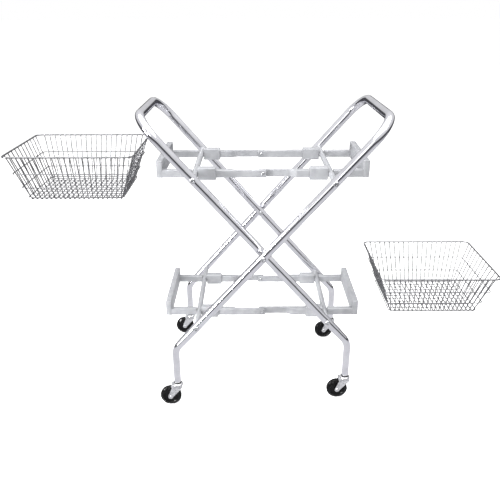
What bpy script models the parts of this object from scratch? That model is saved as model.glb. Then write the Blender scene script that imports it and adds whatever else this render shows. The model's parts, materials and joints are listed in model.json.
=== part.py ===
"""Folding two-tier laundry cart with two lift-off baskets, modelled in metres.

The origin is on the floor, midway between the casters. +Z is up, X runs along the racks and Y across
the cart. The outer frame's handle is at +X and its casters are at -X; the inner frame is the reverse.
"""

import math

import bmesh
import bpy
from mathutils import Vector

# Frames: two U-shaped tubes that cross like scissors and turn on one bolt at each side.
PIVOT_HEIGHT = 0.577
LEAN = math.radians(41.1)
LEG_RADIUS = 0.015
FOOT_RADIUS = 0.0122
LEG_WALL = 0.0015
TAPER_TOP = 0.290
OUTER_HALF_WIDTH = 0.241
INNER_HALF_WIDTH = 0.203
HANDLE_REACH = 0.582
HANDLE_CORNER = 0.086
FOOT_X = 0.301
FOOT_HEIGHT = 0.098
KNEE_RADIUS = 0.062
TUBE_SIDES = 12
BEND_STEPS = 6
GAP = 0.0003

# Racks: each has two halves that hinge on cross tubes and meet at the middle.
UPPER_REACH = 0.333
LOWER_REACH = 0.341
RACK_HALF_LENGTH = 0.342
RAIL_OUTER_Y = 0.141
RAIL_WIDTH = 0.022
RAIL_HEIGHT = 0.025
RAIL_WALL = 0.002
TONGUE_START = 0.085
TONGUE_END = 0.012
SOCKET_LENGTH = 0.058
SOCKET_WIDTH = 0.030
SOCKET_HEIGHT = 0.040
END_BAR_THICKNESS = 0.020
END_BAR_RISE = 0.030
CROSS_TUBE_RADIUS = 0.0095
CROSS_TUBE_BORE = 0.0047
RIVET_RADIUS = 0.003
RIVET_HEAD_RADIUS = 0.0055
RIVET_HEAD_HEIGHT = 0.0026

# Fasteners.
BOLT_RADIUS = 0.0041
BOLT_HOLE = 0.0047
BOLT_HEAD_RADIUS = 0.0092
BOLT_HEAD_HEIGHT = 0.004
NUT_RADIUS = 0.0068
NUT_HEIGHT = 0.006
SPACER_RADIUS = 0.0115

# Casters, with heights above the floor and distances from the swivel axis.
WHEEL_RADIUS = 0.0375
WHEEL_HALF_WIDTH = 0.011
WHEEL_SHOULDER = (0.0345, 0.0369)
WEB_RADII = (0.0115, 0.0255)
WEB_HALF_WIDTH = 0.0070
HUB_RADIUS = 0.0105
HUB_HALF_WIDTH = 0.0118
TRAIL = 0.0267
FORK_INSIDE = 0.0127
FORK_OUTSIDE = 0.0149
FORK_UNDERSIDE = 0.0805
FORK_TOP = 0.0845
FORK_SHOULDER = 0.0765
FORK_FRONT = 0.0165
FORK_BACK = 0.0205
FORK_END_RADIUS = 0.0085
HOOD_BACK = 0.0240
HOOD_EDGE = 0.003
DOME_RADIUS = 0.0190
DOME_FLAT_RADIUS = 0.0115
DOME_TOP = 0.0905
DOME_FOOT = 0.0815
AXLE_RADIUS = 0.004
AXLE_HEAD_RADIUS = 0.0062
AXLE_HEAD_HEIGHT = 0.003
AXLE_CLEARANCE = 0.0004
KING_PIN_RADIUS = 0.005
KING_PIN_HEAD_RADIUS = 0.0078
KING_PIN_FOOT = 0.0775
STEM_RADIUS = 0.0103
STEM_TOP = 0.132
COLLAR_RADIUS = 0.0127
SEAL_RADIUS = 0.0135
SEAL_BOTTOM = 0.0915
SEAL_TOP = 0.0953

# Baskets.
BASKET_LENGTH = 0.420
BASKET_WIDTH = 0.345
BASKET_HEIGHT = 0.158
BASKET_FLOOR_LENGTH = 0.310
BASKET_FLOOR_WIDTH = 0.245
BASKET_CORNER = 0.022
BASKET_WALL = 0.0025
RIM_THICKNESS = 0.006
BASKET_X = 0.615
LEFT_BASKET_FLOOR = 0.735
RIGHT_BASKET_FLOOR = 0.305

PIVOT = Vector((0, 0, PIVOT_HEIGHT))


# ---------------------------------------------------------------- scene and materials


def clear_scene():
    for item in list(bpy.data.objects):
        bpy.data.objects.remove(item, do_unlink=True)


def make_material(name, colour, metallic, roughness):
    material = bpy.data.materials.new(name)
    material.use_nodes = True
    shader = material.node_tree.nodes["Principled BSDF"]
    shader.inputs["Base Color"].default_value = (*colour, 1)
    shader.inputs["Metallic"].default_value = metallic
    shader.inputs["Roughness"].default_value = roughness
    material.diffuse_color = (*colour, 1)
    return material


def make_materials():
    return {
        "chrome": make_material("chrome", (0.82, 0.83, 0.85), 1.0, 0.12),
        "silver_paint": make_material("silver_paint", (0.66, 0.67, 0.69), 0.55, 0.38),
        "zinc": make_material("zinc", (0.72, 0.73, 0.75), 1.0, 0.28),
        "steel_wire": make_material("steel_wire", (0.62, 0.63, 0.64), 1.0, 0.25),
        "bearing": make_material("bearing", (0.05, 0.05, 0.055), 0.3, 0.45),
        "wheel_black": make_material("wheel_black", (0.012, 0.012, 0.014), 0.0, 0.25),
    }


def body_at(name, place, parent=None):
    """An empty that carries one moving body, standing on that body's joint axis."""
    empty = bpy.data.objects.new(name, None)
    empty.empty_display_size = 0.03
    bpy.context.scene.collection.objects.link(empty)
    empty.parent = parent
    empty.location = Vector(place) - (world_place(parent) if parent else Vector())
    return empty


def world_place(item):
    """The world location of an empty or piece, adding up its parents' locations."""
    place = Vector(item.location)
    while item.parent:
        item = item.parent
        place += item.location
    return place


def add_piece(name, shape, material, body, place=None, smooth=30):
    """Turns a bmesh into a named object on a body. The shape's coordinates start at place."""
    place = world_place(body) if place is None else Vector(place)
    bmesh.ops.recalc_face_normals(shape, faces=shape.faces)
    mesh = bpy.data.meshes.new(name)
    shape.to_mesh(mesh)
    shape.free()
    if smooth:
        mesh.shade_smooth()
        mesh.set_sharp_from_angle(angle=math.radians(smooth))
    piece = bpy.data.objects.new(name, mesh)
    bpy.context.scene.collection.objects.link(piece)
    piece.parent = body
    piece.location = place - world_place(body)
    if material:
        mesh.materials.append(material)
    return piece


def add_tool(name, shape, body, place=None):
    """A hidden shape that a Boolean modifier cuts with or joins on."""
    tool = add_piece(name, shape, None, body, place, smooth=0)
    tool.hide_render = True
    tool.display_type = "WIRE"
    return tool


def combine(piece, tool, operation):
    modifier = piece.modifiers.new(tool.name, "BOOLEAN")
    modifier.operation = operation
    modifier.solver = "EXACT"
    modifier.object = tool


# ---------------------------------------------------------------- shapes


def box(low, high):
    """A block between two corners."""
    shape = bmesh.new()
    bmesh.ops.create_cube(shape, size=1)
    low, high = Vector(low), Vector(high)
    for vert in shape.verts:
        vert.co = Vector(
            (low[i] + (vert.co[i] + 0.5) * (high[i] - low[i]) for i in range(3))
        )
    return shape


def prism(outline, low_y, high_y):
    """An outline of (x, z) points, extruded along Y."""
    shape = bmesh.new()
    near = [shape.verts.new((x, low_y, z)) for x, z in outline]
    far = [shape.verts.new((x, high_y, z)) for x, z in outline]
    shape.faces.new(near)
    shape.faces.new(far)
    join_rings(shape, near, far)
    return shape


def join_rings(shape, first, second):
    count = len(first)
    for i in range(count):
        after = (i + 1) % count
        shape.faces.new((first[i], first[after], second[after], second[i]))


def turned(profile, sides, axis="Z"):
    """A profile of (radius, height) points turned about an axis.

    A profile that starts and ends on the axis is solid. One that stays off it is closed into a ring.
    """
    shape = bmesh.new()
    rings = []
    for radius, height in profile:
        count = sides if radius > 0 else 1
        ring = []
        for i in range(count):
            angle = 2 * math.pi * i / sides
            across, along = radius * math.cos(angle), radius * math.sin(angle)
            place = (across, along, height) if axis == "Z" else (across, height, along)
            ring.append(shape.verts.new(place))
        rings.append(ring)
    closed = profile[0][0] > 0
    pairs = list(zip(rings, rings[1:]))
    if closed:
        pairs.append((rings[-1], rings[0]))
    for first, second in pairs:
        if len(first) == 1:
            for i in range(sides):
                shape.faces.new((first[0], second[i], second[(i + 1) % sides]))
        elif len(second) == 1:
            for i in range(sides):
                shape.faces.new((first[i], first[(i + 1) % sides], second[0]))
        else:
            join_rings(shape, first, second)
    return shape


def rounded_path(corners, radii, steps):
    """Corner points joined by straight runs, with an arc of each given radius at the inner ones."""
    points = [corners[0]]
    for before, corner, after, radius in zip(corners, corners[1:], corners[2:], radii):
        into = (corner - before).normalized()
        out = (after - corner).normalized()
        turn = into.angle(out)
        inward = (out - into).normalized()
        centre = corner + inward * radius / math.cos(turn / 2)
        start = corner - into * radius * math.tan(turn / 2)
        spoke = start - centre
        for i in range(steps + 1):
            swing = turn * i / steps
            points.append(centre + spoke * math.cos(swing) + into * radius * math.sin(swing))
    points.append(corners[-1])
    return points


def swept_pipe(points, radii, wall, sides):
    """A pipe with open ends along a path, with an outer radius for each point of the path."""
    shape = bmesh.new()
    directions = [(after - before).normalized() for before, after in zip(points, points[1:])]
    directions = [directions[0], *directions, directions[-1]]
    side = Vector((0, 1, 0))
    outer, inner = [], []
    for place, radius, before, after in zip(points, radii, directions, directions[1:]):
        along = (before + after).normalized()
        side = (side - along * side.dot(along)).normalized()
        across = along.cross(side)
        for rings, reach in ((outer, radius), (inner, radius - wall)):
            ring = []
            for i in range(sides):
                angle = 2 * math.pi * i / sides
                offset = side * math.cos(angle) + across * math.sin(angle)
                ring.append(shape.verts.new(place + offset * reach))
            rings.append(ring)
    for rings in (outer, inner):
        for first, second in zip(rings, rings[1:]):
            join_rings(shape, first, second)
    join_rings(shape, outer[0], inner[0])
    join_rings(shape, outer[-1], inner[-1])
    return shape


def rounded_rectangle(length, width, corner, height):
    """Points around a level rectangle whose corners are quarter circles."""
    points = []
    for turn, (sx, sy) in enumerate(((1, 1), (-1, 1), (-1, -1), (1, -1))):
        for i in range(4):
            angle = math.pi / 2 * (turn + i / 3)
            x = sx * (length / 2 - corner) + corner * math.cos(angle)
            y = sy * (width / 2 - corner) + corner * math.sin(angle)
            points.append((x, y, height))
    return points


def stacked_rings(rings, close):
    """Joins rings of points in order, and either closes the stack on itself or caps both ends."""
    shape = bmesh.new()
    made = [[shape.verts.new(point) for point in ring] for ring in rings]
    for first, second in zip(made, made[1:]):
        join_rings(shape, first, second)
    if close:
        join_rings(shape, made[-1], made[0])
    else:
        shape.faces.new(made[0])
        shape.faces.new(made[-1])
    return shape


# ---------------------------------------------------------------- frames


def along_leg(direction, reach):
    """The x and z of a point on a leg's centre line, measured up from the pivot."""
    return (
        direction * reach * math.sin(LEAN),
        PIVOT_HEIGHT + reach * math.cos(LEAN),
    )


def frame_path(direction, half_width):
    """Centre line of a U-shaped frame whose handle is on the direction side."""
    handle_x, handle_z = along_leg(direction, HANDLE_REACH)
    foot_x = -direction * FOOT_X
    knee_z = PIVOT_HEIGHT - FOOT_X / math.tan(LEAN)
    half = [(foot_x, FOOT_HEIGHT), (foot_x, knee_z), (handle_x, handle_z)]
    corners = [Vector((x, -half_width, z)) for x, z in half]
    corners += [Vector((x, half_width, z)) for x, z in reversed(half)]
    radii = (KNEE_RADIUS, HANDLE_CORNER, HANDLE_CORNER, KNEE_RADIUS)
    points = rounded_path(corners, radii, BEND_STEPS)
    taper_x = direction * (TAPER_TOP - PIVOT_HEIGHT) * math.tan(LEAN)
    last_knee_point = 1 + BEND_STEPS
    points.insert(len(points) - 1 - last_knee_point, Vector((taper_x, half_width, TAPER_TOP)))
    points.insert(last_knee_point + 1, Vector((taper_x, -half_width, TAPER_TOP)))
    return points


def tube_radius(height):
    """The legs are drawn down from their full size above the knee to a slimmer foot."""
    knee_z = PIVOT_HEIGHT - FOOT_X / math.tan(LEAN)
    taper_end = knee_z - KNEE_RADIUS * math.tan(LEAN / 2)
    share = (height - taper_end) / (TAPER_TOP - taper_end)
    return FOOT_RADIUS + (LEG_RADIUS - FOOT_RADIUS) * min(1, max(0, share))


def add_frame(name, direction, half_width, body, material):
    path = frame_path(direction, half_width)
    radii = [tube_radius(point.z) for point in path]
    local_path = [point - world_place(body) for point in path]
    pipe = swept_pipe(local_path, radii, LEG_WALL, TUBE_SIDES)
    frame = add_piece(name, pipe, material, body)
    reach_y = half_width + 2 * LEG_RADIUS
    holes = {
        "pivot": (0, PIVOT_HEIGHT),
        "upper": along_leg(direction, UPPER_REACH),
        "lower": along_leg(direction, -LOWER_REACH),
    }
    for hole, (x, z) in holes.items():
        profile = ((0, -reach_y), (BOLT_HOLE, -reach_y), (BOLT_HOLE, reach_y), (0, reach_y))
        drill = turned(profile, 12, "Y")
        combine(frame, add_tool(f"{name}_{hole}_drill", drill, body, (x, 0, z)), "DIFFERENCE")
    return frame


def bolt_head(face):
    """A low domed head above a face, and the start of its shank."""
    return [
        (0, face + BOLT_HEAD_HEIGHT),
        (BOLT_HEAD_RADIUS * 0.55, face + BOLT_HEAD_HEIGHT * 0.85),
        (BOLT_HEAD_RADIUS * 0.9, face + BOLT_HEAD_HEIGHT * 0.4),
        (BOLT_HEAD_RADIUS, face),
        (BOLT_RADIUS, face),
    ]


def add_pivot(side, label, body, materials):
    """The bolt through one outer and one inner leg, and the spacer between them."""
    inside = INNER_HALF_WIDTH - LEG_RADIUS - GAP
    bolt = bolt_head(OUTER_HALF_WIDTH + LEG_RADIUS + GAP)
    bolt += [
        (BOLT_RADIUS, inside),
        (NUT_RADIUS, inside),
        (NUT_RADIUS, inside - NUT_HEIGHT),
        (0, inside - NUT_HEIGHT),
    ]
    shape = turned([(radius, side * y) for radius, y in bolt], 12, "Y")
    add_piece(f"pivot_bolt_{label}", shape, materials["zinc"], body, PIVOT)
    near = INNER_HALF_WIDTH + LEG_RADIUS + GAP
    far = OUTER_HALF_WIDTH - LEG_RADIUS - GAP
    ring = ((SPACER_RADIUS, near), (SPACER_RADIUS, far), (BOLT_HOLE, far), (BOLT_HOLE, near))
    shape = turned([(radius, side * y) for radius, y in ring], 16, "Y")
    add_piece(f"pivot_spacer_{label}", shape, materials["bearing"], body, PIVOT)


# ---------------------------------------------------------------- racks


def add_tie_bolt(label, place, half_width, body, material):
    """A long bolt through both legs of one frame, on which a cross tube turns."""
    half = bolt_head(half_width + LEG_RADIUS + GAP)
    profile = [(radius, -y) for radius, y in half] + list(reversed(half))
    add_piece(f"tie_bolt_{label}", turned(profile, 12, "Y"), material, body, place)


def add_cross_tube(label, half_width, body, material):
    end = half_width - LEG_RADIUS - GAP
    ring = (
        (CROSS_TUBE_RADIUS, -end),
        (CROSS_TUBE_RADIUS, end),
        (CROSS_TUBE_BORE, end),
        (CROSS_TUBE_BORE, -end),
    )
    add_piece(f"cross_tube_{label}", turned(ring, 16, "Y"), material, body)


def add_end_frame(label, outward, body, material):
    """The raised end bar and the two short arms that carry it outboard of the cross tube."""
    end = RACK_HALF_LENGTH - abs(world_place(body).x)
    bar_start = end - END_BAR_THICKNESS
    bottom, middle = -RAIL_HEIGHT / 2, RAIL_HEIGHT / 2
    top = middle + END_BAR_RISE
    xs = (CROSS_TUBE_RADIUS + GAP, bar_start, end)
    ys = (-RAIL_OUTER_Y, RAIL_WIDTH - RAIL_OUTER_Y, RAIL_OUTER_Y - RAIL_WIDTH, RAIL_OUTER_Y)
    shape = bmesh.new()
    grid = {
        (i, j, z): shape.verts.new((outward * xs[i], ys[j], z))
        for i in range(3)
        for j in range(4)
        for z in (bottom, middle, top)
        if i or z < top
    }

    def quad(*corners):
        shape.faces.new([grid[corner] for corner in corners])

    def wall(first, second, low, high):
        quad((*first, low), (*second, low), (*second, high), (*first, high))

    for j in range(3):
        quad((1, j, bottom), (2, j, bottom), (2, j + 1, bottom), (1, j + 1, bottom))
        quad((1, j, top), (2, j, top), (2, j + 1, top), (1, j + 1, top))
        wall((1, j), (1, j + 1), middle, top)
        for low, high in ((bottom, middle), (middle, top)):
            wall((2, j), (2, j + 1), low, high)
    wall((1, 1), (1, 2), bottom, middle)
    for j in (0, 3):
        for low, high in ((bottom, middle), (middle, top)):
            wall((1, j), (2, j), low, high)
    for j in (0, 2):
        for z in (bottom, middle):
            quad((0, j, z), (1, j, z), (1, j + 1, z), (0, j + 1, z))
        wall((0, j), (0, j + 1), bottom, middle)
        for edge in (j, j + 1):
            wall((0, edge), (1, edge), bottom, middle)
    add_piece(f"end_frame_{label}", shape, material, body, smooth=0)


def add_socket(label, inward, side, body, material):
    """The sleeve beside the cross tube that holds a rail's outer end."""
    start = CROSS_TUBE_RADIUS + GAP
    xs = sorted((inward * start, inward * (start + SOCKET_LENGTH)))
    middle = side * (RAIL_OUTER_Y - RAIL_WIDTH / 2)
    half_width, half_height = SOCKET_WIDTH / 2, SOCKET_HEIGHT / 2
    sleeve = box(
        (xs[0], middle - half_width, -half_height), (xs[1], middle + half_width, half_height)
    )
    socket = add_piece(f"rail_socket_{label}", sleeve, material, body, smooth=0)
    hole_width, hole_height = RAIL_WIDTH / 2 + GAP, RAIL_HEIGHT / 2 + GAP
    slot = box(
        (xs[0] - 0.01, middle - hole_width, -hole_height),
        (xs[1] + 0.01, middle + hole_width, hole_height),
    )
    combine(socket, add_tool(f"rail_socket_{label}_slot", slot, body), "DIFFERENCE")


def add_rail(label, inward, side, outer_tongue, body, material):
    """A hollow rail whose flat tongue laps the facing rail's tongue at the rack's middle.

    The hollow is open inside the socket. The tongue takes half the rail's width, on the outer
    side of the cart where outer_tongue is true and on the inner side where it isn't.
    """
    tube_x = abs(world_place(body).x)
    start = CROSS_TUBE_RADIUS + 2 * GAP
    tongue_start = tube_x - TONGUE_START
    tongue_end = tube_x + TONGUE_END
    outside = side * RAIL_OUTER_Y
    inside = side * (RAIL_OUTER_Y - RAIL_WIDTH)
    middle = side * (RAIL_OUTER_Y - RAIL_WIDTH / 2)
    kept = outside if outer_tongue else inside
    cut = middle + math.copysign(GAP, kept - middle)
    other = inside if outer_tongue else outside
    low, high = -RAIL_HEIGHT / 2, RAIL_HEIGHT / 2
    outline = [
        (inward * start, kept),
        (inward * tongue_end, kept),
        (inward * tongue_end, cut),
        (inward * tongue_start, cut),
        (inward * tongue_start, other),
        (inward * start, other),
    ]
    shape = bmesh.new()
    bottom = [shape.verts.new((x, y, low)) for x, y in outline]
    top = [shape.verts.new((x, y, high)) for x, y in outline]
    shape.faces.new(bottom)
    shape.faces.new(top)
    join_rings(shape, bottom, top)
    rail = add_piece(f"rail_{label}", shape, material, body, smooth=0)
    ys = sorted((outside, inside))
    xs = sorted((inward * (start - 0.01), inward * (tongue_start - RAIL_WALL)))
    hollow = box(
        (xs[0], ys[0] + RAIL_WALL, low + RAIL_WALL), (xs[1], ys[1] - RAIL_WALL, high - RAIL_WALL)
    )
    combine(rail, add_tool(f"rail_{label}_hollow", hollow, body), "DIFFERENCE")
    return rail, sorted((kept, cut))


def add_centre_rivet(label, rail, inward, ys, head_side, body, material):
    """The rivet in one tongue, and the hole it sits in. Its head is on the head_side face."""
    tube_x = abs(world_place(body).x)
    axis = world_place(body) + Vector((inward * tube_x, 0, 0))
    drilled = (
        (0, ys[0] - 0.01),
        (RIVET_RADIUS + GAP, ys[0] - 0.01),
        (RIVET_RADIUS + GAP, ys[1] + 0.01),
        (0, ys[1] + 0.01),
    )
    tool = add_tool(f"{rail.name}_rivet_drill", turned(drilled, 12, "Y"), body, axis)
    combine(rail, tool, "DIFFERENCE")
    face, back = (ys[0], ys[1]) if head_side < 0 else (ys[1], ys[0])
    proud = face + head_side * GAP
    rivet = (
        (0, proud + head_side * RIVET_HEAD_HEIGHT),
        (RIVET_HEAD_RADIUS * 0.7, proud + head_side * RIVET_HEAD_HEIGHT * 0.77),
        (RIVET_HEAD_RADIUS, proud + head_side * RIVET_HEAD_HEIGHT * 0.27),
        (RIVET_HEAD_RADIUS, proud),
        (RIVET_RADIUS, proud),
        (RIVET_RADIUS, back),
        (0, back),
    )
    add_piece(f"centre_rivet_{label}", turned(rivet, 12, "Y"), material, body, axis)


def add_rack_half(level, hand, frame_body, half_width, reach, materials):
    """One half of a rack: everything that turns about one cross tube."""
    direction = -1 if hand == "left" else 1
    x = direction * abs(reach) * math.sin(LEAN)
    z = PIVOT_HEIGHT + reach * math.cos(LEAN)
    label = f"{level}_{hand}"
    body = body_at(f"rack_{label}", (x, 0, z), frame_body)
    paint = materials["silver_paint"]
    add_tie_bolt(label, (x, 0, z), half_width, frame_body, materials["zinc"])
    add_cross_tube(label, half_width, body, paint)
    add_end_frame(label, direction, body, paint)
    for side, place in ((-1, "front"), (1, "back")):
        add_socket(f"{label}_{place}", -direction, side, body, paint)
        outer_tongue = hand == "left"
        rail, ys = add_rail(
            f"{label}_{place}", -direction, side, outer_tongue, body, paint
        )
        holds_rivet = (hand == "left") == (place == "front")
        if holds_rivet:
            name = f"{level}_{place}"
            add_centre_rivet(name, rail, -direction, ys, -1, body, materials["zinc"])


# ---------------------------------------------------------------- casters


def fork_outline():
    """Side view of a fork: a hood over the wheel, tapering legs and a round end at the axle."""
    points = [
        (HOOD_EDGE - HOOD_BACK, FORK_TOP),
        (FORK_FRONT - HOOD_EDGE * 0.7, FORK_TOP),
        (FORK_FRONT, FORK_TOP - HOOD_EDGE),
        (FORK_FRONT, FORK_SHOULDER),
    ]
    lean = math.atan2(TRAIL, FORK_UNDERSIDE - WHEEL_RADIUS)
    for i in range(7):
        angle = -lean * 0.4 - math.pi * i / 6
        x = FORK_END_RADIUS * math.cos(angle) - TRAIL
        z = FORK_END_RADIUS * math.sin(angle) + WHEEL_RADIUS
        points.append((x, z))
    points.append((-FORK_BACK, FORK_SHOULDER))
    points.append((-HOOD_BACK, FORK_TOP - HOOD_EDGE))
    return points


def add_stem(label, foot, frame_body, material):
    """The plug in a leg's open end, its collar and seal, and the king pin that holds the fork."""
    profile = (
        (0, STEM_TOP),
        (STEM_RADIUS * 0.77, STEM_TOP),
        (STEM_RADIUS, STEM_TOP - 0.004),
        (STEM_RADIUS, FOOT_HEIGHT - GAP),
        (COLLAR_RADIUS, FOOT_HEIGHT - GAP),
        (COLLAR_RADIUS, SEAL_TOP + GAP),
        (SEAL_RADIUS, SEAL_TOP),
        (SEAL_RADIUS, SEAL_BOTTOM),
        (KING_PIN_RADIUS, SEAL_BOTTOM),
        (KING_PIN_RADIUS, FORK_UNDERSIDE - GAP),
        (KING_PIN_HEAD_RADIUS, FORK_UNDERSIDE - GAP),
        (KING_PIN_HEAD_RADIUS * 0.9, KING_PIN_FOOT),
        (0, KING_PIN_FOOT),
    )
    add_piece(f"caster_stem_{label}", turned(profile, 16), material, frame_body, (*foot, 0))


def add_fork(label, foot, swivel, material):
    """A folded fork: two cheeks under a hood, with a dome pressed up for the ball race."""
    name = f"caster_fork_{label}"
    under = (*foot, 0)
    axle_place = (foot[0] - TRAIL, foot[1], WHEEL_RADIUS)
    fork = add_piece(name, prism(fork_outline(), -FORK_OUTSIDE, FORK_OUTSIDE), material, swivel, under)
    beyond = 2 * WHEEL_RADIUS
    slot = box((-beyond, -FORK_INSIDE, 0), (beyond, FORK_INSIDE, FORK_UNDERSIDE))
    combine(fork, add_tool(f"{name}_slot", slot, swivel, under), "DIFFERENCE")
    dome = (
        (0, DOME_TOP),
        (DOME_FLAT_RADIUS, DOME_TOP),
        (DOME_RADIUS * 0.87, DOME_TOP - 0.0015),
        (DOME_RADIUS, DOME_TOP - 0.005),
        (DOME_RADIUS, DOME_FOOT),
        (0, DOME_FOOT),
    )
    combine(fork, add_tool(f"{name}_dome", turned(dome, 20), swivel, under), "UNION")
    pin = KING_PIN_RADIUS + GAP
    bore = turned(((0, WHEEL_RADIUS), (pin, WHEEL_RADIUS), (pin, STEM_TOP), (0, STEM_TOP)), 16)
    combine(fork, add_tool(f"{name}_bore", bore, swivel, under), "DIFFERENCE")
    reach = 2 * FORK_OUTSIDE
    radius = AXLE_RADIUS + GAP
    hole = turned(((0, -reach), (radius, -reach), (radius, reach), (0, reach)), 12, "Y")
    combine(fork, add_tool(f"{name}_hole", hole, swivel, axle_place), "DIFFERENCE")


def add_axle(label, axle_place, swivel, material):
    face = FORK_OUTSIDE + GAP
    half = (
        (0, face + AXLE_HEAD_HEIGHT),
        (AXLE_HEAD_RADIUS * 0.89, face + AXLE_HEAD_HEIGHT * 0.87),
        (AXLE_HEAD_RADIUS, face),
        (AXLE_RADIUS, face),
    )
    profile = [(radius, -y) for radius, y in half] + list(reversed(half))
    add_piece(f"caster_axle_{label}", turned(profile, 12, "Y"), material, swivel, axle_place)


def add_wheel(label, wheel_body, material):
    """Hub, thin web and broad rim, turned about the axle."""
    half = (
        (AXLE_RADIUS + AXLE_CLEARANCE, HUB_HALF_WIDTH),
        (HUB_RADIUS, HUB_HALF_WIDTH),
        (WEB_RADII[0], WEB_HALF_WIDTH),
        (WEB_RADII[1], WEB_HALF_WIDTH),
        (WEB_RADII[1] + 0.002, WHEEL_HALF_WIDTH),
        (WHEEL_SHOULDER[0], WHEEL_HALF_WIDTH),
        (WHEEL_SHOULDER[1], WHEEL_HALF_WIDTH * 0.8),
        (WHEEL_RADIUS, WHEEL_HALF_WIDTH * 0.5),
    )
    profile = list(half) + [(radius, -y) for radius, y in reversed(half)]
    add_piece(f"caster_wheel_{label}", turned(profile, 20, "Y"), material, wheel_body)


def add_caster(label, foot, frame_body, materials):
    """A stem in the leg's open end, a swivelling fork below it, an axle and a wheel."""
    x, y = foot
    axle_place = (x - TRAIL, y, WHEEL_RADIUS)
    add_stem(label, foot, frame_body, materials["zinc"])
    swivel = body_at(f"caster_{label}", (x, y, DOME_TOP), frame_body)
    add_fork(label, foot, swivel, materials["zinc"])
    add_axle(label, axle_place, swivel, materials["zinc"])
    wheel_body = body_at(f"wheel_{label}", axle_place, swivel)
    add_wheel(label, wheel_body, materials["wheel_black"])


# ---------------------------------------------------------------- baskets


def add_basket(hand, direction, floor, material):
    """A tapered open basket: a thin shell that stands for its wires, and the rim around its top."""
    body = body_at(f"basket_{hand}", (direction * BASKET_X, 0, floor))
    wall = BASKET_WALL
    shell_top = BASKET_HEIGHT - RIM_THICKNESS - GAP
    inset = RIM_THICKNESS
    top_length, top_width = BASKET_LENGTH - inset, BASKET_WIDTH - inset
    rings = [
        rounded_rectangle(top_length - 2 * wall, top_width - 2 * wall, BASKET_CORNER, shell_top),
        rounded_rectangle(top_length, top_width, BASKET_CORNER + wall, shell_top),
        rounded_rectangle(BASKET_FLOOR_LENGTH, BASKET_FLOOR_WIDTH, BASKET_CORNER, 0),
    ]
    floor_length, floor_width = BASKET_FLOOR_LENGTH - 2 * wall, BASKET_FLOOR_WIDTH - 2 * wall
    inner_floor = rounded_rectangle(floor_length, floor_width, BASKET_CORNER - wall, wall)
    shell = stacked_rings([inner_floor, *rings], close=False)
    add_piece(f"basket_shell_{hand}", shell, material, body)
    bottom = BASKET_HEIGHT - RIM_THICKNESS
    span = 2 * RIM_THICKNESS
    inner = (BASKET_LENGTH - span, BASKET_WIDTH - span, BASKET_CORNER)
    outer = (BASKET_LENGTH, BASKET_WIDTH, BASKET_CORNER + RIM_THICKNESS)
    rim = stacked_rings(
        [
            rounded_rectangle(*inner, bottom),
            rounded_rectangle(*outer, bottom),
            rounded_rectangle(*outer, BASKET_HEIGHT),
            rounded_rectangle(*inner, BASKET_HEIGHT),
        ],
        close=True,
    )
    add_piece(f"basket_rim_{hand}", rim, material, body)


# ---------------------------------------------------------------- the cart


def build_cart():
    clear_scene()
    materials = make_materials()
    outer = body_at("frame_outer", (0, 0, 0))
    inner = body_at("frame_inner", PIVOT, outer)
    add_frame("outer_frame_tube", 1, OUTER_HALF_WIDTH, outer, materials["chrome"])
    add_frame("inner_frame_tube", -1, INNER_HALF_WIDTH, inner, materials["chrome"])
    for side, label in ((-1, "front"), (1, "back")):
        add_pivot(side, label, outer, materials)
    halves = (
        ("upper", "right", outer, OUTER_HALF_WIDTH, UPPER_REACH),
        ("upper", "left", inner, INNER_HALF_WIDTH, UPPER_REACH),
        ("lower", "left", outer, OUTER_HALF_WIDTH, -LOWER_REACH),
        ("lower", "right", inner, INNER_HALF_WIDTH, -LOWER_REACH),
    )
    for level, hand, body, half_width, reach in halves:
        add_rack_half(level, hand, body, half_width, reach, materials)
    for side, label in ((-1, "front"), (1, "back")):
        add_caster(f"{label}_left", (-FOOT_X, side * OUTER_HALF_WIDTH), outer, materials)
        add_caster(f"{label}_right", (FOOT_X, side * INNER_HALF_WIDTH), inner, materials)
    add_basket("left", -1, LEFT_BASKET_FLOOR, materials["steel_wire"])
    add_basket("right", 1, RIGHT_BASKET_FLOOR, materials["steel_wire"])
    bpy.context.view_layer.update()


build_cart()
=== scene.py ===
"""Looks of the folding laundry cart: bright chrome frames, painted racks, casters and wire baskets.

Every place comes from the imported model's boxes and joints. Pieces are modelled at rest, in metres, in
the frame's own coordinates, and ride on the body whose CAD node they stand for.
"""

import json
import math

import bmesh
import bpy
from mathutils import Matrix, Vector


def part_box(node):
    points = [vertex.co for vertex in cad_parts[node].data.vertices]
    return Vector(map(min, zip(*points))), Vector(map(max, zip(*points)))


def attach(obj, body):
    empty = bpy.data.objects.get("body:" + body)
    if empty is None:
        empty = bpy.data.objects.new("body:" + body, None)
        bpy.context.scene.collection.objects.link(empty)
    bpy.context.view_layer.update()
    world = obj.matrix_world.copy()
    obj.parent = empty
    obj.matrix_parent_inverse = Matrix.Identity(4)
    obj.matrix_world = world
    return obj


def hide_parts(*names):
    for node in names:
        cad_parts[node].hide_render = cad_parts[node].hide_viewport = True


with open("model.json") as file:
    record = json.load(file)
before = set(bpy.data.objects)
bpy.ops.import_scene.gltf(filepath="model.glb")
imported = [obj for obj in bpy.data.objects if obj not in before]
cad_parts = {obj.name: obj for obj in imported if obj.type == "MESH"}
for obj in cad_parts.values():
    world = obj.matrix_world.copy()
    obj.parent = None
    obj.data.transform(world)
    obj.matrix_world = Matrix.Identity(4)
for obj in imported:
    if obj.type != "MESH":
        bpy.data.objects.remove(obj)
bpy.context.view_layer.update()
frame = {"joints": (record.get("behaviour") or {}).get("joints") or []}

# ---------------------------------------------------------------- camera and driving sizes

CAMERA_PLACE = (-0.0408, -1.8846, 1.3253)
CAMERA_PITCH = math.radians(90 - 23.65)
CAMERA_ROLL = math.radians(0.14)
CAMERA_YAW = math.radians(-0.02)
CAMERA_LENS = 40.32

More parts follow.
